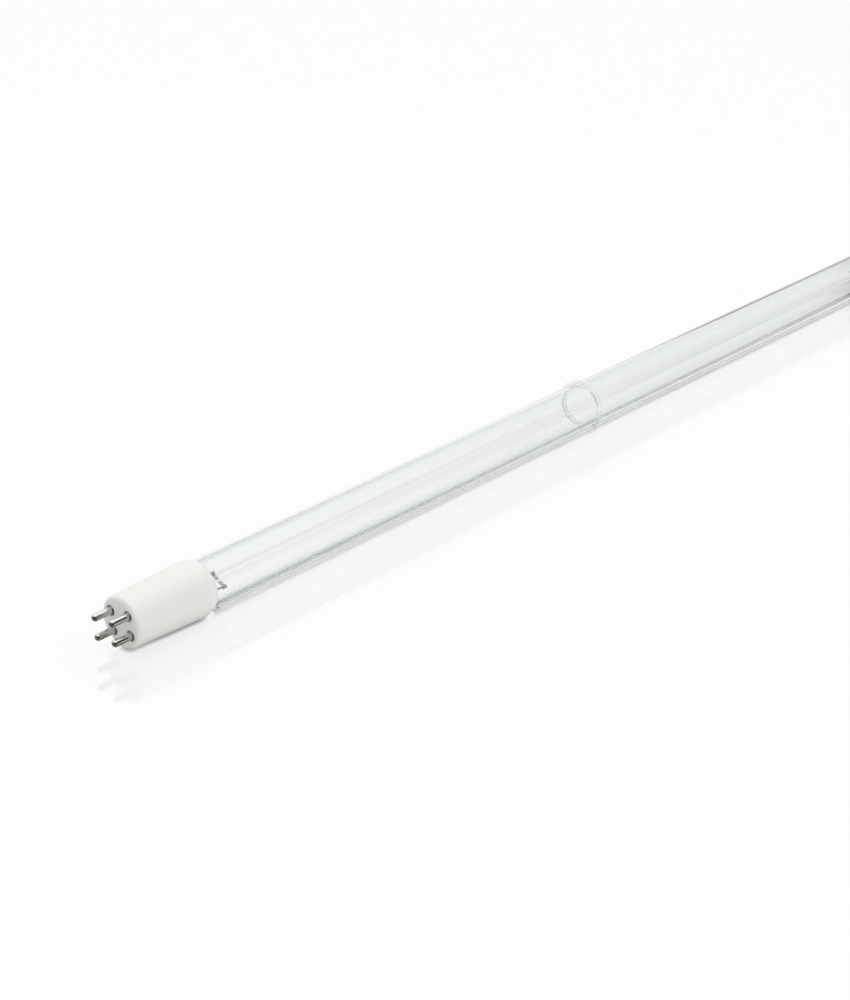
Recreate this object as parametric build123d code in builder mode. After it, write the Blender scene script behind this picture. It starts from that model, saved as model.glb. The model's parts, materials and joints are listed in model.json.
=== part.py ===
from build123d import *
from math import acos, cos, degrees, hypot, radians, sin
import os

# Ultraviolet tube lamp with all four contact pins at one end, lying on its side.
# The origin is the middle of the pin face. +X runs along the lamp to its far end and +Z is up.
# Lengths are in millimetres and angles in degrees.

os.makedirs("parts", exist_ok=True)

# Whole lamp
lamp_length = 436.0
fit_gap = 0.03

# Glass envelope
tube_radius = 7.95
tube_wall = 1.0
shoulder_length = 5.5
shoulder_swell = 0.15
shoulder_flare = 0.4
shoulder_thickening = 0.4
press_width = 13.0
press_thickness = 3.6
press_corner = 0.6
press_length = 8.0
press_overlap = 0.8
press_tilt = 27.0

# Ceramic base and end cap
base_length = 30.6
cap_length = 22.0
bore_gap = 0.65
mouth_rim = 0.15
mouth_bevel = 2.5
barrel_wall = 0.75
end_rim = 1.67
barrel_taper = 0.5
edge_round = 1.2
barrel_round = 1.0
base_wall = 5.0
cap_wall = 2.0
cap_rim_wall = 0.5
cap_corner = 1.0
cavity_gap = 0.37
cavity_length = 14.0
cavity_step = 3.0

# Cement
cement_depth = 3.4
cement_bead = 0.9
bead_step = 0.1

# Contact pins
pin_spacing_across = 7.92
pin_spacing_up = 6.35
pin_turn = 6.5
pin_radius = 1.18
pin_shank_radius = 1.4
pin_reach = 6.8
pin_tip_round = 0.95
pin_head_radius = 1.75
pin_head_height = 0.8
pin_recess_radius = 1.75
pin_recess_depth = 0.9
pin_bore_margin = 2.0

# Wires, foils and filaments
wire_radius = 0.25
wire_bend = 0.6
lead_bend = 1.5
wire_clearance = 0.35
wire_turn_gap = 1.0
pin_approach = 2.2
press_approach = 0.8
near_lead_room = 5.2
far_lead_room = 3.0
cavity_entry = 1.0
return_approach = [(1.0, 4.6), (5.3, 2.7)]
foil_length = 4.5
foil_width = 2.2
foil_thickness = 0.1
foil_inset = 1.5
post_spacing = 5.8
post_radius = 0.35
post_reach = 8.2
post_bend = 4.0
electrode_droop = 1.1
clamp_size = 1.0
clamp_length = 1.5
clamp_round = 0.2
coil_radius = 0.58
coil_root_radius = 0.42
leg_radius = 0.17
coil_turns = 7
coil_length = 3.85

# Return leads along the tube, which stand a little further off it at the far end
lead_step = 15.5
sleeve_radius = 0.75
sleeve_bore = 0.35
sleeve_gap = 0.05
bare_length = 2.0
far_lead_lift = 0.6

# Ring that holds the leads at mid-length
ring_thickness = 1.3
ring_wall = 0.35
ring_lift = 0.1

# Mercury
drop_radius = 0.45
drop_reach = 9.0

# Radii worked out from the sizes above
pin_circle = hypot(pin_spacing_across, pin_spacing_up) / 2
bore_radius = tube_radius + bore_gap
mouth_radius = bore_radius + mouth_rim
end_radius = pin_circle + pin_recess_radius + end_rim
barrel_radius = max(bore_radius + barrel_wall, end_radius + barrel_taper)
cavity_radius = pin_circle + pin_head_radius + cavity_gap
rim_wire_radius = tube_radius + sleeve_gap + wire_radius
near_lead_radius = tube_radius + sleeve_gap + sleeve_radius
lobe_radius = sleeve_radius + sleeve_gap + ring_wall
ring_radius = barrel_radius - ring_lift

# Places along the lamp
cavity_end_x = base_wall + cavity_length
bore_start_x = cavity_end_x + cavity_step
cap_mouth_x = lamp_length - cap_length
near_press_x = base_wall + pin_head_height + near_lead_room
near_round_x = near_press_x + press_length + shoulder_length
far_press_x = lamp_length - cap_wall - far_lead_room
far_round_x = far_press_x - press_length - shoulder_length
near_filament_x = base_length + post_reach
far_filament_x = cap_mouth_x - post_reach
sleeve_start = base_length + cement_bead + bare_length
sleeve_end = cap_mouth_x - cement_bead - bare_length
ring_x = lamp_length / 2
pin_bore_end = pin_bore_margin - pin_reach


def lead_radius(x):
    """Distance of a sleeved lead from the lamp's axis at x."""
    return near_lead_radius + far_lead_lift * (x - sleeve_start) / (sleeve_end - sleeve_start)


# The ring is stretched straight from the tube to its lobe, level with the floor and lifted a little off it.
lead_angle = degrees(acos(min(1, (ring_radius - lobe_radius) / lead_radius(ring_x))))
lead_angles = [lead_angle, lead_angle + lead_step]

# The flat of both press seals leans from the horizontal by press_tilt.
flat_way = (0, -cos(radians(press_tilt)), -sin(radians(press_tilt)))
flat_normal = (0, sin(radians(press_tilt)), -cos(radians(press_tilt)))
pin_way = (0, -cos(radians(pin_turn)), sin(radians(pin_turn)))
pin_face = Plane(origin=(0, 0, 0), x_dir=pin_way, z_dir=(-1, 0, 0))
pin_spots = [pin_face.location * spot for spot in GridLocations(pin_spacing_across, pin_spacing_up, 2, 2)]
post_places = (-post_spacing / 2, post_spacing / 2)


def section(x):
    """Plane across the lamp at x, with its own x along the flat of the press seals."""
    return Plane(origin=(x, 0, 0), x_dir=flat_way, z_dir=(1, 0, 0))


def flat_point(x, across, above):
    """Point at x, so far across the flat of the seals and so far above it."""
    y = across * flat_way[1] + above * flat_normal[1]
    z = across * flat_way[2] + above * flat_normal[2]
    return (x, y, z)


def rim_point(x, radius, angle):
    """Point at x and a radius from the lamp's axis, at an angle from straight down."""
    return (x, -radius * sin(radians(angle)), -radius * cos(radians(angle)))


def save(piece, name):
    piece.part.label = name
    export_step(piece.part, f"parts/{name}.step")


def wire(points, bends):
    """Round wire along straight runs joined by arcs."""
    with BuildPart() as piece:
        with BuildLine() as route:
            FilletPolyline(*points, radius=bends)
        with BuildSketch(Plane(origin=route.line @ 0, z_dir=route.line % 0)):
            Circle(wire_radius)
        sweep()
    return piece


# Ceramic base: a barrel that tapers to the pins, with a round edge, a bevelled mouth and a stepped cavity
with BuildPart() as ceramic_base:
    with BuildSketch(Plane.XY) as base_half:
        with BuildLine():
            Polyline(
                (0, 0),
                (0, end_radius),
                (base_length - mouth_bevel, barrel_radius),
                (base_length, mouth_radius),
                (base_length, bore_radius),
                (bore_start_x, bore_radius),
                (cavity_end_x, cavity_radius),
                (base_wall, cavity_radius),
                (base_wall, 0),
                close=True,
            )
        make_face()
        fillet(base_half.vertices().sort_by(Axis.Y)[-1], barrel_round)
        fillet(base_half.vertices().group_by(Axis.X)[0].sort_by(Axis.Y)[-1], edge_round)
    revolve(axis=Axis.X)
    with Locations(*pin_spots):
        CounterBoreHole(pin_shank_radius + fit_gap, pin_recess_radius, pin_recess_depth, depth=base_wall)
save(ceramic_base, "ceramic_base")

# End cap: a shorter barrel at the far end, with a plain closed face
with BuildPart() as end_cap:
    with BuildSketch(Plane.XY) as cap_half:
        with BuildLine():
            Polyline(
                (lamp_length, 0),
                (lamp_length, bore_radius + cap_rim_wall),
                (cap_mouth_x + mouth_bevel, barrel_radius),
                (cap_mouth_x, mouth_radius),
                (cap_mouth_x, bore_radius),
                (lamp_length - cap_wall - cap_corner, bore_radius),
                (lamp_length - cap_wall, bore_radius - cap_corner),
                (lamp_length - cap_wall, 0),
                close=True,
            )
        make_face()
        fillet(cap_half.vertices().sort_by(Axis.Y)[-1], barrel_round)
        fillet(cap_half.vertices().group_by(Axis.X)[-1].sort_by(Axis.Y)[-1], edge_round)
    revolve(axis=Axis.X)
save(end_cap, "end_cap")


# Contact pins: round-tipped, headed behind the ceramic and drilled from behind for their wire
def contact_pin(spot):
    back = Plane(spot).offset(-base_wall - pin_head_height)
    with BuildPart() as piece:
        with BuildSketch(back):
            Circle(pin_head_radius)
        extrude(amount=pin_head_height)
        with BuildSketch(Plane(spot).offset(-base_wall)):
            Circle(pin_shank_radius)
        extrude(amount=base_wall)
        with BuildSketch(Plane(spot)):
            Circle(pin_radius)
        extrude(amount=pin_reach)
        fillet(piece.edges().filter_by(GeomType.CIRCLE).sort_by(Axis.X)[0], pin_tip_round)
        with BuildSketch(back):
            Circle(wire_radius + fit_gap)
        extrude(amount=base_wall + pin_head_height - pin_bore_end, mode=Mode.SUBTRACT)
    return piece


for number, spot in enumerate(pin_spots, start=1):
    save(contact_pin(spot), f"contact_pin_{number}")


# Glass envelope: round tube, shoulders lofted down to the flat, and a press seal at each end
def envelope(wall, thickening):
    """Round body and shoulders, drawn in by a wall that grows towards the press seals."""
    end_half = (press_width / 2 + shoulder_flare, press_thickness / 2 + shoulder_flare)
    middle_half = [(tube_radius + half) / 2 + shoulder_swell for half in end_half]
    with BuildPart() as piece:
        with BuildSketch(section(near_round_x)):
            Circle(tube_radius - wall)
        extrude(amount=far_round_x - near_round_x)
        for round_x, way in ((near_round_x, -1), (far_round_x, 1)):
            with BuildSketch(section(round_x)):
                Circle(tube_radius - wall)
            with BuildSketch(section(round_x + way * shoulder_length / 2)):
                Ellipse(*[half - wall - thickening / 2 for half in middle_half])
            with BuildSketch(section(round_x + way * shoulder_length)):
                Ellipse(*[half - wall - thickening for half in end_half])
            loft()
    return piece


def passage(x, shape, *sizes):
    """One opening of this shape in line with each post, across the lamp at x."""
    with BuildSketch(section(x)) as openings:
        with GridLocations(post_spacing, 0, 2, 1):
            shape(*sizes)
    return openings.sketch


inside = envelope(tube_wall, shoulder_thickening)
lamp_tube = envelope(0, 0)
with lamp_tube:
    for press_x, way in ((near_press_x, 1), (far_press_x, -1)):
        with BuildSketch(section(press_x)) as press:
            RectangleRounded(press_width, press_thickness, press_corner)
        extrude(press.sketch, amount=way * (press_length + press_overlap))
    add(inside.part, mode=Mode.SUBTRACT)
    for press_x, way in ((near_press_x, 1), (far_press_x, -1)):
        foil_outer = press_x + way * foil_inset
        foil_inner = foil_outer + way * foil_length
        post_depth = press_length - foil_inset - foil_length
        wire_holes = passage(press_x, Circle, wire_radius + fit_gap)
        foil_slots = passage(foil_outer, Rectangle, foil_width + 2 * fit_gap, foil_thickness + 2 * fit_gap)
        post_holes = passage(foil_inner, Circle, post_radius + fit_gap)
        extrude(wire_holes, amount=way * foil_inset, mode=Mode.SUBTRACT)
        extrude(foil_slots, amount=way * foil_length, mode=Mode.SUBTRACT)
        extrude(post_holes, amount=way * post_depth, mode=Mode.SUBTRACT)
save(lamp_tube, "lamp_tube")


# Electrode mounts: foils sealed in the glass, posts with clamps, and a coiled filament between them
def foil(outer_x, way, across):
    with BuildPart() as piece:
        with BuildSketch(section(outer_x - way * fit_gap)):
            with Locations((across, 0)):
                Rectangle(foil_width, foil_thickness)
        extrude(amount=-way * (foil_length - 2 * fit_gap))
    return piece


def post(start_x, bend_x, clamp_x, across):
    """Post out of the seal that bends down to its clamp, which is bored for the filament's leg."""
    clamp_centre = Vector(flat_point(clamp_x, across, 0)) - (0, 0, electrode_droop)
    leg_start = clamp_centre - Vector(flat_way) * clamp_size
    with BuildPart() as piece:
        with BuildLine() as route:
            points = [flat_point(start_x, across, 0), flat_point(bend_x, across, 0), clamp_centre]
            FilletPolyline(*points, radius=post_bend)
        with BuildSketch(Plane(origin=route.line @ 0, z_dir=route.line % 0)):
            Circle(post_radius)
        sweep()
        with Locations(Plane(origin=clamp_centre, x_dir=(1, 0, 0), z_dir=flat_normal)):
            Box(clamp_length, clamp_size, clamp_size)
        clamp_ends = piece.edges().filter_by(Plane.YZ).group_by(Axis.X)
        fillet(clamp_ends[0 if clamp_x < start_x else -1], clamp_round)
        with BuildSketch(Plane(origin=leg_start, z_dir=flat_way)):
            Circle(leg_radius + fit_gap)
        extrude(amount=2 * clamp_size, mode=Mode.SUBTRACT)
    return piece


def filament(clamp_x):
    """Coated coil: a ridge for each turn, with a straight leg through each clamp."""
    pitch = coil_length / coil_turns
    coil_end = coil_length / 2
    leg_end = (post_spacing + clamp_size) / 2 + leg_radius
    middle = Plane(origin=(clamp_x, 0, -electrode_droop), x_dir=flat_way, z_dir=flat_normal)
    outline = [(-leg_end, 0), (-leg_end, leg_radius), (-coil_end, leg_radius), (-coil_end, coil_root_radius)]
    for turn in range(coil_turns):
        start = turn * pitch - coil_end
        outline += [(start + pitch / 2, coil_radius), (start + pitch, coil_root_radius)]
    outline += [(coil_end, leg_radius), (leg_end, leg_radius), (leg_end, 0)]
    with BuildPart() as piece:
        with BuildSketch(middle):
            with BuildLine():
                Polyline(*outline, close=True)
            make_face()
        revolve(axis=Axis(middle.origin, flat_way))
    return piece


for end_name, press_x, way, clamp_x in (
    ("near", near_press_x, -1, near_filament_x),
    ("far", far_press_x, 1, far_filament_x),
):
    foil_outer = press_x - way * foil_inset
    post_start = foil_outer - way * (foil_length + fit_gap)
    post_bend_x = press_x - way * (press_length + shoulder_length)
    for number, across in enumerate(post_places, start=1):
        save(foil(foil_outer, way, across), f"{end_name}_foil_{number}")
        save(post(post_start, post_bend_x, clamp_x, across), f"{end_name}_post_{number}")
    save(filament(clamp_x), f"{end_name}_filament")


# Near lead wires, from the foils to the upper pair of pins
def pin_end(spot):
    """Where a wire enters a pin from behind, and where it ends inside the pin."""
    y, z = spot.position.Y, spot.position.Z
    return [(base_wall + pin_head_height + pin_approach, y, z), (pin_bore_end + wire_radius, y, z)]


for number, (across, spot) in enumerate(zip(post_places, pin_spots[1::2]), start=1):
    route = [flat_point(near_press_x + foil_inset - fit_gap, across, 0)]
    route += [flat_point(near_press_x - press_approach, across, 0)]
    route += pin_end(spot)
    save(wire(route, wire_bend), f"near_lead_{number}")

# Return leads, from the far foils back along the outside of the tube to the lower pair of pins
turn_x = lamp_length - cap_wall - wire_turn_gap
for number, angle in enumerate(lead_angles):
    route = [flat_point(far_press_x - foil_inset + fit_gap, post_places[number], 0)]
    route += [flat_point(turn_x, post_places[number], 0)]
    route += [rim_point(turn_x, rim_wire_radius, angle)]
    route += [rim_point(cap_mouth_x - cement_bead, rim_wire_radius, angle)]
    route += [rim_point(sleeve_end + wire_bend, lead_radius(sleeve_end), angle)]
    route += [rim_point(sleeve_start - wire_bend, lead_radius(sleeve_start), angle)]
    route += [rim_point(base_length + cement_bead, rim_wire_radius, angle)]
    route += [rim_point(bore_start_x + cavity_entry, rim_wire_radius, angle)]
    route += [rim_point(cavity_end_x - cavity_entry / 2, cavity_radius - wire_radius - wire_clearance, angle)]
    route += [flat_point(near_press_x - press_approach, *return_approach[number])]
    route += pin_end(pin_spots[2 * number])
    save(wire(route, [wire_bend] * 2 + [lead_bend] * 6 + [wire_bend] * 2), f"return_lead_{number + 1}")
    sleeve_axis = [rim_point(x, lead_radius(x), angle) for x in (sleeve_start, sleeve_end)]
    with BuildPart() as sleeve:
        with BuildLine():
            Line(*sleeve_axis)
        with BuildSketch(Plane(origin=sleeve_axis[0], z_dir=Vector(sleeve_axis[1]) - Vector(sleeve_axis[0]))):
            Circle(sleeve_radius)
            Circle(sleeve_bore, mode=Mode.SUBTRACT)
        sweep()
    save(sleeve, f"return_sleeve_{number + 1}")


# Cement: fills the gap round the tube at each mouth and ends in a small bead
def cement(mouth_x, way):
    inner = tube_radius + fit_gap
    outer = bore_radius - fit_gap
    with BuildPart() as piece:
        with BuildSketch(Plane.XY):
            with BuildLine():
                Polyline(
                    (mouth_x - way * cement_depth, inner),
                    (mouth_x - way * cement_depth, outer),
                    (mouth_x, outer),
                    (mouth_x + way * cement_bead, inner + bead_step),
                    (mouth_x + way * cement_bead, inner),
                    close=True,
                )
            make_face()
        revolve(axis=Axis.X)
        for angle in lead_angles:
            foot = rim_point(mouth_x - way * 2 * cement_depth, rim_wire_radius, angle)
            with BuildSketch(Plane(origin=foot, z_dir=(way, 0, 0))):
                Circle(wire_radius + fit_gap)
            extrude(amount=4 * cement_depth, mode=Mode.SUBTRACT)
    return piece


save(cement(base_length, 1), "base_cement")
save(cement(cap_mouth_x, -1), "end_cement")

# Spacer ring: a thin collar with two lobes, through which the sleeved leads pass
with BuildPart() as spacer_ring:
    lead_spots = [rim_point(0, lead_radius(ring_x), angle)[1:] for angle in lead_angles]
    with BuildSketch(Plane(origin=(ring_x - ring_thickness / 2, 0, 0), x_dir=(0, 1, 0), z_dir=(1, 0, 0))):
        Circle(ring_radius)
        with Locations(*lead_spots):
            Circle(lobe_radius)
        make_hull()
        Circle(tube_radius + sleeve_gap, mode=Mode.SUBTRACT)
        with Locations(*lead_spots):
            Circle(sleeve_radius + sleeve_gap, mode=Mode.SUBTRACT)
    extrude(amount=ring_thickness)
save(spacer_ring, "spacer_ring")

# Mercury drop: lies on the inside of the tube near the far electrode
with BuildPart() as mercury_drop:
    with Locations((cap_mouth_x - drop_reach, 0, -(tube_radius - tube_wall - fit_gap - drop_radius))):
        Sphere(drop_radius)
save(mercury_drop, "mercury_drop")
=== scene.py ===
import bmesh
import bpy
import json
from math import pi, radians
from mathutils import Matrix, Vector


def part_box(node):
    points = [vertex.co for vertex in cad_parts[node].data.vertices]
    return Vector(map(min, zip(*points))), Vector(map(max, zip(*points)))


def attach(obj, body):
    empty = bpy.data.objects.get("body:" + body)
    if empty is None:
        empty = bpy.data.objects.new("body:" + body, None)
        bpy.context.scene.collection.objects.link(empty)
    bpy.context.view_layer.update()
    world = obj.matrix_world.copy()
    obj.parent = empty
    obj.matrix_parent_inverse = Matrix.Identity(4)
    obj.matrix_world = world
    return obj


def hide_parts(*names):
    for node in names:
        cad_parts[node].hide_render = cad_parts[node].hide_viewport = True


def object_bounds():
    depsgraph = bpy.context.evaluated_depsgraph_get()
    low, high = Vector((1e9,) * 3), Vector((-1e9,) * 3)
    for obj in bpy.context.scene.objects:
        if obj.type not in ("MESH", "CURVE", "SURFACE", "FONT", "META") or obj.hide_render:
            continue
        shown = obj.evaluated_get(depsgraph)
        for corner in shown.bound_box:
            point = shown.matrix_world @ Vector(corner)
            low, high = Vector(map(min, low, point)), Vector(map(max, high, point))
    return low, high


mm = 0.001

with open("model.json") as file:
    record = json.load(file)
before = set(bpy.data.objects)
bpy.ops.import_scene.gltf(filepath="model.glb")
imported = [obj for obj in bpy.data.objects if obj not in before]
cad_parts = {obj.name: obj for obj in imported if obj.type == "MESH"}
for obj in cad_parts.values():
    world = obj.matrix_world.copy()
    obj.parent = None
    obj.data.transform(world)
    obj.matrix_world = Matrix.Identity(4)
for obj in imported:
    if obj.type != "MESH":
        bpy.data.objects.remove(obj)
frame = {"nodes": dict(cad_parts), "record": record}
nodes = frame["nodes"]
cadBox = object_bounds()
print("frame loaded:", len(nodes), "nodes")


# Camera: stands where the photograph was taken, looking down along the lamp from its pins
photoCamera = {
    "place": (-0.33618, -0.42718, 0.30382),
    "looksAlong": (0.6642, 0.6038, -0.4408),
    "lens": 74.95,
    "sensor": 36.0,
    "nearClip": 0.01,
}


def makeCamera():
    data = bpy.data.cameras.new("photoCamera")
    data.lens = photoCamera["lens"]
    data.sensor_width = photoCamera["sensor"]
    data.clip_start = photoCamera["nearClip"]
    holder = bpy.data.objects.new("photoCamera", data)
    holder.location = photoCamera["place"]
    holder.rotation_euler = Vector(photoCamera["looksAlong"]).to_track_quat("-Z", "Y").to_euler()
    bpy.context.scene.collection.objects.link(holder)
    bpy.context.scene.camera = holder
    print("camera placed")


makeCamera()


# Shader maths: a socket that can be used in plain arithmetic
class Link:
    def __init__(self, tree, socket):
        self.tree = tree
        self.socket = socket

    def combine(self, operation, other, flip=False):
        first, second = (other, self) if flip else (self, other)
        return addNode(self.tree, "ShaderNodeMath", {"operation": operation}, {0: first, 1: second})

    def __add__(self, other):
        return self.combine("ADD", other)

    def __radd__(self, other):
        return self.combine("ADD", other, True)

    def __sub__(self, other):
        return self.combine("SUBTRACT", other)

    def __rsub__(self, other):
        return self.combine("SUBTRACT", other, True)

    def __mul__(self, other):
        return self.combine("MULTIPLY", other)

    def __rmul__(self, other):
        return self.combine("MULTIPLY", other, True)

    def __pow__(self, other):
        return self.combine("POWER", other)

    def __rpow__(self, other):
        return self.combine("POWER", other, True)

    # Another output of the same node
    def beside(self, name):
        return Link(self.tree, self.socket.node.outputs[name])


def plug(tree, inlet, value):
    if isinstance(value, Link):
        tree.links.new(value.socket, inlet)
    elif isinstance(value, tuple) and inlet.type == "RGBA":
        inlet.default_value = value + (1.0,)
    else:
        inlet.default_value = value


def addNode(tree, kind, settings, values, out=0):
    node = tree.nodes.new(kind)
    for name, value in settings.items():
        setattr(node, name, value)
    for name, value in values.items():
        plug(tree, node.inputs[name], value)
    return Link(tree, node.outputs[out])


# Goes smoothly from low to high while the value goes from start to full
def fade(tree, value, start, full, low=0.0, high=1.0):
    return addNode(tree, "ShaderNodeMapRange", {"interpolation_type": "SMOOTHSTEP"}, {
        "Value": value, "From Min": start, "From Max": full, "To Min": low, "To Max": high,
    })


class Finish:
    def __init__(self, name, fixed):
        self.material = bpy.data.materials.new(name)
        self.material.use_nodes = True
        self.tree = self.material.node_tree
        self.shader = self.tree.nodes["Principled BSDF"]
        self.here = self.add("ShaderNodeTexCoord", {}, {}, "Object")
        for socket, value in fixed.items():
            self.set(socket, value)

    def add(self, kind, settings, values, out=0):
        return addNode(self.tree, kind, settings, values, out)

    def set(self, socket, value):
        plug(self.tree, self.shader.inputs[socket], value)

    def noise(self, scale, detail):
        values = {"Vector": self.here, "Scale": scale, "Detail": detail}
        return self.add("ShaderNodeTexNoise", {}, values)

    # Noise drawn out along the lamp or round it, by a scale for each axis
    def streaks(self, scale, detail):
        where = self.add("ShaderNodeMapping", {}, {"Vector": self.here, "Scale": scale})
        return self.add("ShaderNodeTexNoise", {}, {"Vector": where, "Scale": 1.0, "Detail": detail})

    # The colour sockets of a Mix node share their names with others, so they go by number
    def blend(self, amount, first, second):
        return self.add("ShaderNodeMix", {"data_type": "RGBA"}, {0: amount, 6: first, 7: second}, 2)

    def bump(self, height, depth, strength):
        values = {"Height": height, "Distance": depth, "Strength": strength}
        self.set("Normal", self.add("ShaderNodeBump", {}, values))

    # Clear pieces let most of a lamp's light through, so their shadow stays pale
    def paleShadow(self, passing, solid):
        shadow = self.add("ShaderNodeLightPath", {}, {}, "Is Shadow Ray")
        self.set("Alpha", solid - shadow * (solid * passing))


# Ceramic of the base and the end cap
ceramicLook = {
    "light": (0.825, 0.825, 0.80),
    "dark": (0.80, 0.80, 0.765),
    "ior": 1.55,
    "cloudScale": 90.0,
    "cloudDetail": 4.0,
    "cloudShare": 0.7,
    "cloudHeight": 0.4,
    "speckScale": 2600.0,
    "speckDetail": 2.0,
    "speckShare": 0.3,
    "speckHeight": 0.6,
    "grainDepth": 0.000012,
    "grainStrength": 0.5,
    "roughness": 0.36,
    "roughnessSpread": 0.12,
}


def ceramicFinish():
    look = ceramicLook
    finish = Finish("ceramic", {"IOR": look["ior"]})
    clouds = finish.noise(look["cloudScale"], look["cloudDetail"])
    specks = finish.noise(look["speckScale"], look["speckDetail"])
    mottle = clouds * look["cloudShare"] + specks * look["speckShare"]
    finish.set("Base Color", finish.blend(mottle, look["dark"], look["light"]))
    finish.set("Roughness", look["roughness"] + (specks - 0.5) * look["roughnessSpread"])
    grain = specks * look["speckHeight"] + clouds * look["cloudHeight"]
    finish.bump(grain, look["grainDepth"], look["grainStrength"])
    return finish.material


# Powdery surfaces: cement round the tube at each mouth, and the coat on the filaments
powderLook = {
    "cement": {
        "light": (0.78, 0.78, 0.755),
        "dark": (0.70, 0.70, 0.67),
        "scale": 1400.0,
        "detail": 6.0,
        "roughness": 0.7,
        "roughnessSpread": 0.2,
        "depth": 0.00005,
        "strength": 0.8,
    },
    "oxideCoat": {
        "light": (0.88, 0.88, 0.87),
        "dark": (0.62, 0.61, 0.60),
        "scale": 5000.0,
        "detail": 4.0,
        "roughness": 0.8,
        "roughnessSpread": 0.1,
        "depth": 0.00003,
        "strength": 0.8,
    },
}


def powderFinish(name):
    look = powderLook[name]
    finish = Finish(name, {})
    grain = finish.noise(look["scale"], look["detail"])
    finish.set("Base Color", finish.blend(grain, look["dark"], look["light"]))
    finish.set("Roughness", look["roughness"] + grain * look["roughnessSpread"])
    finish.bump(grain, look["depth"], look["strength"])
    return finish.material


# Clear quartz of the envelope: each end has its pair of tints, faded one into the other along the lamp, and the
# edges are a little darker. The far end's greyer, greener tints are painted shade, and the darker edges are
# painted rim shade
quartzLook = {
    "near": ((0.986, 0.994, 0.997), (0.992, 0.998, 1.000)),
    "far": ((0.973, 0.986, 0.978), (0.979, 0.991, 0.984)),
    "fadeStart": 0.04,
    "fadeEnd": 0.26,
    "edge": (0.55, 0.58, 0.575),
    "rimShadeBlend": 0.5,
    "rimShadePower": 1.9,
    "ior": 1.458,
    "drawScale": (2.0, 60.0, 60.0),
    "drawDetail": 2.0,
    "waveDepth": 0.000001,
    "waveStrength": 0.1,
    "passing": 0.95,
}


def quartzFinish():
    look = quartzLook
    finish = Finish("quartz", {"IOR": look["ior"], "Transmission Weight": 1.0, "Roughness": 0.0})
    drawn = finish.streaks(look["drawScale"], look["drawDetail"])
    lengthwise = finish.add("ShaderNodeSeparateXYZ", {}, {"Vector": finish.here}, "X")
    # Painted shade along the lamp: near the base the tints stay clear, and further on they fade to the far
    # end's greyer, greener ones
    along = fade(finish.tree, lengthwise, look["fadeStart"], look["fadeEnd"])
    tints = [finish.blend(drawn, *look[end]) for end in ("near", "far")]
    # Painted rim shade: the colour darkens towards the edges, where the tube is seen at a grazing angle
    edge = finish.add("ShaderNodeLayerWeight", {}, {"Blend": look["rimShadeBlend"]}, "Facing")
    clear = finish.blend(along, *tints)
    finish.set("Base Color", finish.blend(edge ** look["rimShadePower"], clear, look["edge"]))
    finish.bump(drawn, look["waveDepth"], look["waveStrength"])
    finish.paleShadow(look["passing"], 1.0)
    return finish.material


# Bright nickel of the pins, turned and a little scuffed
pinLook = {
    "bright": (0.72, 0.71, 0.68),
    "dull": (0.46, 0.45, 0.42),
    "turnScale": (9000.0, 500.0, 500.0),
    "turnDetail": 2.0,
    "turnDepth": 0.000004,
    "turnStrength": 0.4,
    "turnRoughness": 0.04,
    "scuffScale": 900.0,
    "scuffDetail": 5.0,
    "scuffRoughness": 0.10,
    "roughness": 0.08,
}


def pinFinish():
    look = pinLook
    finish = Finish("pinNickel", {"Metallic": 1.0})
    turned = finish.streaks(look["turnScale"], look["turnDetail"])
    scuffs = finish.noise(look["scuffScale"], look["scuffDetail"])
    finish.set("Base Color", finish.blend(scuffs, look["dull"], look["bright"]))
    wear = look["roughness"] + scuffs * look["scuffRoughness"] + turned * look["turnRoughness"]
    finish.set("Roughness", wear)
    finish.bump(turned, look["turnDepth"], look["turnStrength"])
    return finish.material


# Drawn wire, posts and foils, with the marks of drawing along the lamp
wireLook = {
    "drawScale": (300.0, 6000.0, 6000.0),
    "drawDetail": 3.0,
    "roughnessSpread": 0.15,
    "leadNickel": {
        "dark": (0.72, 0.72, 0.70), "light": (0.86, 0.86, 0.84), "roughness": 0.40, "metallic": 0.3,
    },
    "postNickel": {
        "dark": (0.42, 0.42, 0.41), "light": (0.56, 0.55, 0.54), "roughness": 0.35, "metallic": 0.4,
    },
    "foil": {
        "dark": (0.40, 0.40, 0.40), "light": (0.58, 0.58, 0.58), "roughness": 0.35, "metallic": 1.0,
    },
}


def wireFinish(name):
    look = wireLook[name]
    finish = Finish(name, {"Metallic": look["metallic"]})
    drawn = finish.streaks(wireLook["drawScale"], wireLook["drawDetail"])
    finish.set("Base Color", finish.blend(drawn, look["dark"], look["light"]))
    finish.set("Roughness", look["roughness"] + drawn * wireLook["roughnessSpread"])
    return finish.material


# Translucent plastic of the sleeves and the ring
plasticLook = {
    "ior": 1.36,
    "cloudScale": 700.0,
    "cloudDetail": 4.0,
    "cloudRoughness": 0.03,
    "cloudDepth": 0.000005,
    "cloudStrength": 0.05,
    "passing": 0.9,
    "sleevePlastic": {
        "clear": (0.985, 0.995, 0.992), "milky": (0.955, 0.975, 0.970),
        "through": 0.45, "roughness": 0.12, "solid": 1.0,
    },
    "ringPlastic": {
        "clear": (0.95, 0.97, 0.965), "milky": (0.86, 0.89, 0.88),
        "through": 0.80, "roughness": 0.18, "solid": 0.55,
    },
}


def plasticFinish(name):
    shared, look = plasticLook, plasticLook[name]
    finish = Finish(name, {"IOR": shared["ior"], "Transmission Weight": look["through"]})
    cloud = finish.noise(shared["cloudScale"], shared["cloudDetail"])
    finish.set("Base Color", finish.blend(cloud, look["milky"], look["clear"]))
    finish.set("Roughness", look["roughness"] + cloud * shared["cloudRoughness"])
    finish.bump(cloud, shared["cloudDepth"], shared["cloudStrength"])
    finish.paleShadow(shared["passing"], look["solid"])
    return finish.material


# Mercury drop
mercuryLook = {
    "light": (0.84, 0.84, 0.86),
    "dark": (0.70, 0.70, 0.72),
    "skinScale": 3000.0,
    "skinDetail": 2.0,
    "roughness": 0.02,
    "roughnessSpread": 0.05,
}


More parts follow.
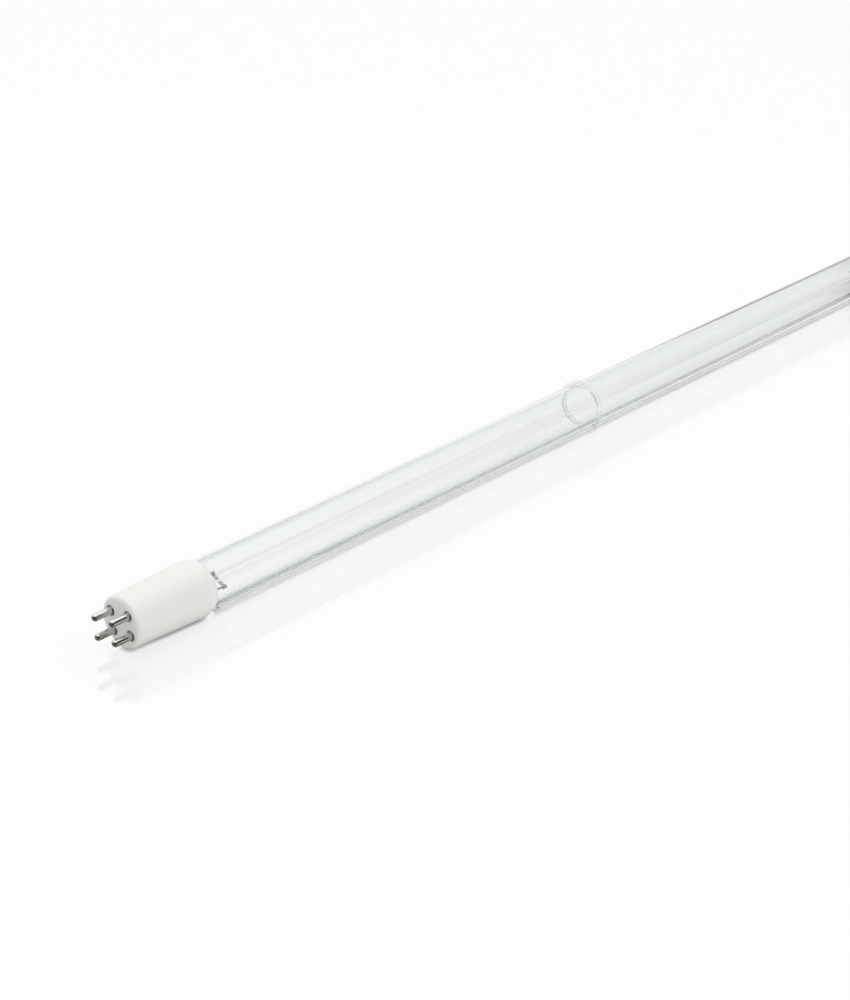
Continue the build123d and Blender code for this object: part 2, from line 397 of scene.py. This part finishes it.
def mercuryFinish():
    look = mercuryLook
    finish = Finish("mercury", {"Metallic": 1.0})
    skin = finish.noise(look["skinScale"], look["skinDetail"])
    finish.set("Base Color", finish.blend(skin, look["dark"], look["light"]))
    finish.set("Roughness", look["roughness"] + skin * look["roughnessSpread"])
    return finish.material


finishes = {
    "ceramic": ceramicFinish(),
    "cement": powderFinish("cement"),
    "quartz": quartzFinish(),
    "pin_metal": pinFinish(),
    "lead_wire": wireFinish("leadNickel"),
    "post_metal": wireFinish("postNickel"),
    "foil_metal": wireFinish("foil"),
    "coated_coil": powderFinish("oxideCoat"),
    "sleeve_plastic": plasticFinish("sleevePlastic"),
    "ring_plastic": plasticFinish("ringPlastic"),
    "mercury": mercuryFinish(),
}
print("finishes made:", len(finishes))


def dressNodes():
    slotOf = {part["node"]: part["material_slot"] for part in frame["record"]["subparts"]}
    for name, holder in nodes.items():
        holder.data.materials.clear()
        holder.data.materials.append(finishes[slotOf[name]])
    print("nodes dressed:", len(slotOf))


dressNodes()


# What the pieces made here share
sharedShape = {
    "sharpAngle": 35.0,
    "turnAboutLamp": 27.0,  # how far the press seals and the filaments are turned round the lamp's axis
}


def turnRound(shape):
    turn = Matrix.Rotation(radians(sharedShape["turnAboutLamp"]), 3, "X")
    bmesh.ops.rotate(shape, matrix=turn, verts=shape.verts)


def keepPiece(shape, name, slot, *replaced):
    mesh = bpy.data.meshes.new(name)
    shape.to_mesh(mesh)
    shape.free()
    mesh.shade_smooth()
    mesh.set_sharp_from_angle(angle=radians(sharedShape["sharpAngle"]))
    mesh.materials.append(finishes[slot])
    piece = bpy.data.objects.new(name, mesh)
    bpy.context.scene.collection.objects.link(piece)
    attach(piece, "root")
    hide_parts(*replaced)
    print("made", name, "with", len(mesh.polygons), "faces")


# Shell of rings along X, each extruded from the last: where it stands, and its half sizes across Y and Z
def growShell(stations, segments):
    shape = bmesh.new()
    first = stations[0]
    turn = Matrix.Rotation(pi / 2, 4, "Y")
    ring = bmesh.ops.create_circle(shape, segments=segments, radius=1.0, matrix=turn)["verts"]
    edges = list({edge for vert in ring for edge in vert.link_edges})
    bmesh.ops.scale(shape, vec=(1.0, first[1], first[2]), verts=ring)
    bmesh.ops.translate(shape, vec=(first[0], 0.0, 0.0), verts=ring)
    for last, station in zip(stations, stations[1:]):
        grown = bmesh.ops.extrude_edge_only(shape, edges=edges)["geom"]
        ring = [item for item in grown if isinstance(item, bmesh.types.BMVert)]
        edges = [item for item in grown if isinstance(item, bmesh.types.BMEdge)]
        bmesh.ops.scale(shape, vec=(1.0, station[1] / last[1], station[2] / last[2]), verts=ring)
        bmesh.ops.translate(shape, vec=(station[0] - last[0], 0.0, 0.0), verts=ring)
    openEdges = [edge for edge in shape.edges if edge.is_boundary]
    bmesh.ops.holes_fill(shape, edges=openEdges)
    bmesh.ops.recalc_face_normals(shape, faces=shape.faces)
    return shape


# Quartz envelope: round tube, shoulders and flat press seals, hollow between the seals
tubeShape = {
    "segments": 256,
    "wall": 1.0 * mm,
    "pressLength": 8.0 * mm,
    "pressHalf": (6.5 * mm, 2.9 * mm),
    "pressFlat": 1.8 * mm,
    "pressEdge": 0.1 * mm,
    "shoulderLength": 5.5 * mm,
    "shoulderEnd": (6.9 * mm, 2.2 * mm),
    "shoulderSwell": 0.15 * mm,
    "shoulderSteps": 8,
    "thickening": 0.4 * mm,
}


# Parabola that has these three values at 0, at a half and at 1
def bend(start, middle, end, part):
    outer = start * (1 - part) * (1 - 2 * part) + end * part * (2 * part - 1)
    return outer + 4 * middle * part * (1 - part)


def shoulderStations(pressX, way, radius, wall, thickening):
    look = tubeShape
    stations = []
    for step in range(look["shoulderSteps"] + 1):
        part = step / look["shoulderSteps"]
        halves = []
        for end in look["shoulderEnd"]:
            middle = (radius + end) / 2 + look["shoulderSwell"] - wall - thickening / 2
            halves.append(bend(end - wall - thickening, middle, radius - wall, part))
        stations.append((pressX + way * look["shoulderLength"] * part, *halves))
    return stations


def makeTube():
    look = tubeShape
    low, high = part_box("lamp_tube")
    radius = (high[1] - low[1]) / 2
    nearEnd, farEnd = low[0], high[0]
    nearPress, farPress = nearEnd + look["pressLength"], farEnd - look["pressLength"]
    press, edge = look["pressHalf"], look["pressEdge"]
    outer = [(nearEnd, *press), (nearPress - edge, *press)]
    outer += shoulderStations(nearPress, 1, radius, 0.0, 0.0)
    outer += shoulderStations(farPress, -1, radius, 0.0, 0.0)[::-1]
    outer += [(farPress + edge, *press), (farEnd, *press)]
    inner = shoulderStations(nearPress, 1, radius, look["wall"], look["thickening"])
    inner += shoulderStations(farPress, -1, radius, look["wall"], look["thickening"])[::-1]
    shape = growShell(outer, look["segments"])
    for vert in shape.verts:
        if not nearPress < vert.co.x < farPress:
            vert.co.z = max(-look["pressFlat"], min(look["pressFlat"], vert.co.z))
    hollow = growShell(inner, look["segments"])
    bmesh.ops.reverse_faces(hollow, faces=hollow.faces)
    hollowMesh = bpy.data.meshes.new("hollow")
    hollow.to_mesh(hollowMesh)
    hollow.free()
    shape.from_mesh(hollowMesh)
    bpy.data.meshes.remove(hollowMesh)
    turnRound(shape)
    keepPiece(shape, "quartzTube", "quartz", "lamp_tube")


makeTube()


# Filament: one coated wire wound in open turns, with a straight leg into each clamp
coilShape = {
    "turns": 7,
    "stepsPerTurn": 20,
    "length": 3.85 * mm,
    "radius": 0.43 * mm,
    "wire": 0.15 * mm,
    "wireSegments": 12,
    "legRadius": 0.16 * mm,
    "legLength": 1.65 * mm,
}


def addRod(shape, startRadius, endRadius, length, place):
    bmesh.ops.create_cone(
        shape, cap_ends=True, segments=coilShape["wireSegments"],
        radius1=startRadius, radius2=endRadius, depth=length, matrix=place,
    )


def makeCoil(name, node):
    look = coilShape
    low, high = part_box(node)
    middle = (Vector(low) + Vector(high)) / 2
    half = look["length"] / 2
    steps = look["turns"] * look["stepsPerTurn"]
    shape = bmesh.new()
    start = Matrix.Translation((0.0, -half, look["radius"])) @ Matrix.Rotation(pi / 2, 4, "Y")
    ring = bmesh.ops.create_circle(
        shape, cap_ends=True, segments=look["wireSegments"], radius=look["wire"], matrix=start
    )["verts"]
    around = list({face for vert in ring for face in vert.link_faces})
    bmesh.ops.spin(
        shape, geom=around, cent=(0.0, 0.0, 0.0), axis=(0.0, 1.0, 0.0),
        dvec=(0.0, look["length"] / steps, 0.0), angle=look["turns"] * 2 * pi, steps=steps,
    )
    for side in (-1, 1):
        leg = Matrix.Translation((0.0, side * (half + look["legLength"] / 2), 0.0))
        leg = leg @ Matrix.Rotation(pi / 2, 4, "X")
        addRod(shape, look["legRadius"], look["legRadius"], look["legLength"], leg)
        foot = Matrix.Translation((0.0, side * half, look["radius"] / 2))
        addRod(shape, look["legRadius"], look["wire"], look["radius"], foot)
    bmesh.ops.recalc_face_normals(shape, faces=shape.faces)
    turnRound(shape)
    bmesh.ops.translate(shape, vec=middle, verts=shape.verts)
    keepPiece(shape, name, "coated_coil", node)


makeCoil("nearCoil", "near_filament")
makeCoil("farCoil", "far_filament")


# Floor: white to the camera, painted dark on the near side where the pins mirror it, with a painted thin shadow
# where the lamp touches it
floorLook = {
    "size": 6.0,
    "middle": 0.2,
    "color": (0.92, 0.92, 0.92),
    "white": 0.88,
    "through": 0.90,
    "gloss": 0.14,
    "glossRoughness": 0.08,
    "mirroredNear": 0.12,
    "mirroredFar": 0.82,
    "mirroredFrom": -0.03,
    "mirroredTo": 0.05,
    "contactReach": 0.0014,
    "contactPower": 1.7,
}


def floorFinish():
    look = floorLook
    material = bpy.data.materials.new("floorWhite")
    material.use_nodes = True
    tree = material.node_tree
    tree.nodes.remove(tree.nodes["Principled BSDF"])
    direct = addNode(tree, "ShaderNodeLightPath", {}, {}, "Is Camera Ray")
    through = direct.beside("Is Transmission Ray")
    mirror = direct.beside("Is Glossy Ray") * (1 - through)
    soft = addNode(tree, "ShaderNodeBsdfDiffuse", {}, {"Color": look["color"]})
    # Painted dark reflection: seen in glossy reflections, the floor is dark on the pins' side of the lamp and
    # pale beyond it
    here = addNode(tree, "ShaderNodeTexCoord", {}, {}, "Object")
    lengthwise = addNode(tree, "ShaderNodeSeparateXYZ", {}, {"Vector": here}, "X")
    along = fade(
        tree, lengthwise, look["mirroredFrom"], look["mirroredTo"], look["mirroredNear"], look["mirroredFar"]
    )
    mirroredShade = addNode(tree, "ShaderNodeBsdfDiffuse", {}, {"Color": along})
    glow = addNode(tree, "ShaderNodeEmission", {}, {"Color": (1.0, 1.0, 1.0), "Strength": 1.0})
    gloss = addNode(tree, "ShaderNodeBsdfGlossy", {}, {"Roughness": look["glossRoughness"]})
    # Painted contact shadow: ambient occlusion darkens the floor's white glow where the lamp nearly touches it
    contact = addNode(tree, "ShaderNodeAmbientOcclusion", {}, {"Distance": look["contactReach"]}, "AO")
    clear = contact ** look["contactPower"]
    white = direct * clear * look["white"] + through * look["through"]
    lit = addNode(tree, "ShaderNodeMixShader", {}, {0: white, 1: soft, 2: glow})
    plain = addNode(tree, "ShaderNodeMixShader", {}, {0: mirror, 1: lit, 2: mirroredShade})
    sheen = addNode(tree, "ShaderNodeMixShader", {}, {0: direct * look["gloss"], 1: plain, 2: gloss})
    plug(tree, tree.nodes["Material Output"].inputs["Surface"], sheen)
    return material


def makeFloor():
    shape = bmesh.new()
    bmesh.ops.create_grid(shape, x_segments=1, y_segments=1, size=floorLook["size"])
    bmesh.ops.translate(shape, verts=shape.verts, vec=(floorLook["middle"], 0.0, cadBox[0][2]))
    mesh = bpy.data.meshes.new("floor")
    shape.to_mesh(mesh)
    shape.free()
    mesh.materials.append(floorFinish())
    floor = bpy.data.objects.new("floor", mesh)
    bpy.context.scene.collection.objects.link(floor)


# Room: soft light a little stronger from the far end. Metal mirrors a room that is dark behind the camera, pale
# beyond the lamp and bright above, and clear pieces show a paler one
roomLook = {
    "softLight": 0.93,
    "endLight": 0.27,
    "wayY": 0.9,
    "wayX": 0.25,
    "middle": 0.5,
    "darkUntil": 0.3,
    "brightFrom": 1.0,
    "mirroredDark": 0.02,
    "mirroredBright": 1.12,
    "topLight": 1.7,
    "topStart": 0.55,
    "topFull": 0.90,
    "throughDark": 0.55,
    "throughBright": 1.0,
    "throughTop": 0.85,
    "ceilingStart": 0.05,
    "ceilingFull": 0.6,
}


def makeRoom():
    look = roomLook
    world = bpy.data.worlds.new("studio")
    world.use_nodes = True
    bpy.context.scene.world = world
    tree = world.node_tree
    back = tree.nodes["Background"]
    way = addNode(tree, "ShaderNodeTexCoord", {}, {}, "Generated")
    upward = addNode(tree, "ShaderNodeSeparateXYZ", {}, {"Vector": way}, "Z")
    farward = upward.beside("X")
    beyond = upward.beside("Y") * look["wayY"] + farward * look["wayX"] + look["middle"]
    mirrored, through = [
        addNode(tree, "ShaderNodeMapRange", {}, {
            "Value": beyond, "From Min": look["darkUntil"], "From Max": look["brightFrom"],
            "To Min": look[name + "Dark"], "To Max": look[name + "Bright"],
        })
        for name in ("mirrored", "through")
    ]
    above = fade(tree, upward, look["topStart"], look["topFull"])
    mirrored = mirrored + above * (look["topLight"] - mirrored)
    through = through * fade(tree, upward, look["ceilingStart"], look["ceilingFull"], 1.0, look["throughTop"])
    direct = addNode(tree, "ShaderNodeLightPath", {}, {}, "Is Camera Ray")
    plain = farward * look["endLight"] + look["softLight"]
    soft = direct.beside("Is Glossy Ray") * (mirrored - plain) + plain
    even = direct.beside("Is Transmission Ray") * (through - soft) + soft
    plug(tree, back.inputs["Strength"], direct * (1 - even) + even)
    plug(tree, back.inputs["Color"], (1.0, 1.0, 1.0))


overheadLamp = {"place": (0.08, 0.18, 1.1), "aim": (0.12, 0.0, 0.0), "size": 0.45, "power": 1.6}


def makeOverheadLamp():
    lamp = overheadLamp
    data = bpy.data.lights.new("overhead", "AREA")
    data.size = lamp["size"]
    data.energy = lamp["power"]
    holder = bpy.data.objects.new("overhead", data)
    holder.location = lamp["place"]
    way = Vector(lamp["aim"]) - Vector(lamp["place"])
    holder.rotation_euler = way.to_track_quat("-Z", "Y").to_euler()
    bpy.context.scene.collection.objects.link(holder)


# Light passes many clear walls one behind another, so it may bounce often
lightBounces = 32


def setUpStudio():
    makeFloor()
    makeRoom()
    makeOverheadLamp()
    scene = bpy.context.scene
    scene.view_settings.view_transform = "Standard"
    scene.cycles.max_bounces = lightBounces
    scene.cycles.glossy_bounces = lightBounces
    scene.cycles.transmission_bounces = lightBounces
    print("studio ready")


setUpStudio()
